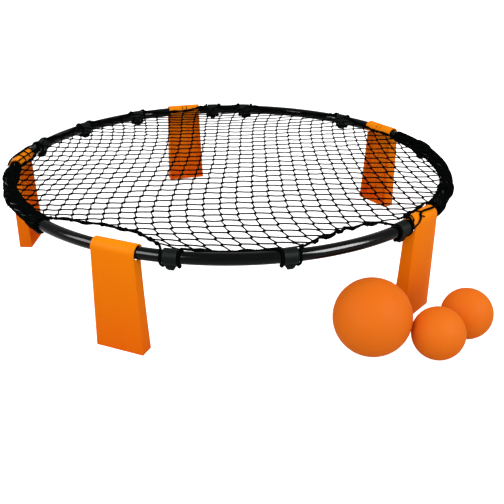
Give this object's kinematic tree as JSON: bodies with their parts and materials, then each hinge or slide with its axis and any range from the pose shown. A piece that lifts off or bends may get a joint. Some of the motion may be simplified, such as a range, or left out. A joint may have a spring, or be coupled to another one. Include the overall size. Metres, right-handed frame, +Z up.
{
  "type": "roundnet set",
  "caption": "Low round net stretched on a tubular rim that stands on folding channel legs, with hooks and a border cord, and loose rubber balls beside it.",
  "frame": {"origin": "on the ground under the middle of the whole set's box", "axes": "+Z up; the set's front, as pictured, is at -Y and the balls stand at +X -Y"},
  "size_m": [0.9194, 0.9566, 0.2052],
  "materials": {
    "rim_enamel": "gloss black stoved enamel",
    "sleeve_steel": "bare drawn steel, hidden in the joints",
    "leg_plastic": "satin moulded orange plastic",
    "hook_plastic": "satin black moulded plastic",
    "net_cord": "matte black braided cord and knotted twine",
    "ball_rubber": "soft matte orange vinyl rubber",
    "valve_rubber": "dark matte rubber plug"
  },
  "bodies": {
    "rim": {"rim_tube_1": "rim_enamel", "rim_tube_2": "rim_enamel", "rim_tube_3": "rim_enamel", "rim_tube_4": "rim_enamel", "rim_tube_5": "rim_enamel", "joint_sleeve_1": "sleeve_steel", "joint_sleeve_2": "sleeve_steel", "joint_sleeve_3": "sleeve_steel", "joint_sleeve_4": "sleeve_steel", "joint_sleeve_5": "sleeve_steel", "net_hook_01": "hook_plastic", "net_hook_02": "hook_plastic", "net_hook_03": "hook_plastic", "net_hook_04": "hook_plastic", "net_hook_05": "hook_plastic", "net_hook_06": "hook_plastic", "net_hook_07": "hook_plastic", "net_hook_08": "hook_plastic", "net_hook_09": "hook_plastic", "net_hook_10": "hook_plastic", "net_hook_11": "hook_plastic", "net_hook_12": "hook_plastic", "net_hook_13": "hook_plastic", "net_hook_14": "hook_plastic", "net_hook_15": "hook_plastic", "border_cord": "net_cord", "net": "net_cord"},
    "leg_1": {"leg_1": "leg_plastic"},
    "leg_2": {"leg_2": "leg_plastic"},
    "leg_3": {"leg_3": "leg_plastic"},
    "leg_4": {"leg_4": "leg_plastic"},
    "leg_5": {"leg_5": "leg_plastic"},
    "ball_large": {"ball_large": "ball_rubber", "valve_large": "valve_rubber"},
    "ball_small_front": {"ball_small_front": "ball_rubber", "valve_small_front": "valve_rubber"},
    "ball_small_back": {"ball_small_back": "ball_rubber", "valve_small_back": "valve_rubber"}
  },
  "joints": [
    {"name": "leg_1_fold", "type": "hinge", "parent": "rim", "child": "leg_1", "pos_m": [-0.18048, -0.38871, 0.185], "axis": [0.9114, -0.4115, 0], "range_deg": [0, 80]},
    {"name": "leg_2_fold", "type": "hinge", "parent": "rim", "child": "leg_2", "pos_m": [0.33588, -0.27849, 0.185], "axis": [0.6639, 0.7478, 0], "range_deg": [0, 80]},
    {"name": "leg_3_fold", "type": "hinge", "parent": "rim", "child": "leg_3", "pos_m": [0.37336, 0.26436, 0.185], "axis": [-0.5548, 0.832, 0], "range_deg": [0, 80]},
    {"name": "leg_4_fold", "type": "hinge", "parent": "rim", "child": "leg_4", "pos_m": [-0.11847, 0.4458, 0.185], "axis": [-0.9622, -0.2723, 0], "range_deg": [0, 80]},
    {"name": "leg_5_fold", "type": "hinge", "parent": "rim", "child": "leg_5", "pos_m": [-0.44151, 0.0483, 0.185], "axis": [-0.0698, -0.9976, 0], "range_deg": [0, 80]},
    {"name": "ball_large_roll", "type": "slide", "parent": "rim", "child": "ball_large", "axis": [-0.5, -0.866, 0], "range_m": [0, 0.25]},
    {"name": "ball_small_front_roll", "type": "slide", "parent": "rim", "child": "ball_small_front", "axis": [0.2079, -0.9781, 0], "range_m": [0, 0.25]},
    {"name": "ball_small_back_roll", "type": "slide", "parent": "rim", "child": "ball_small_back", "axis": [1, 0, 0], "range_m": [0, 0.25]}
  ]
}
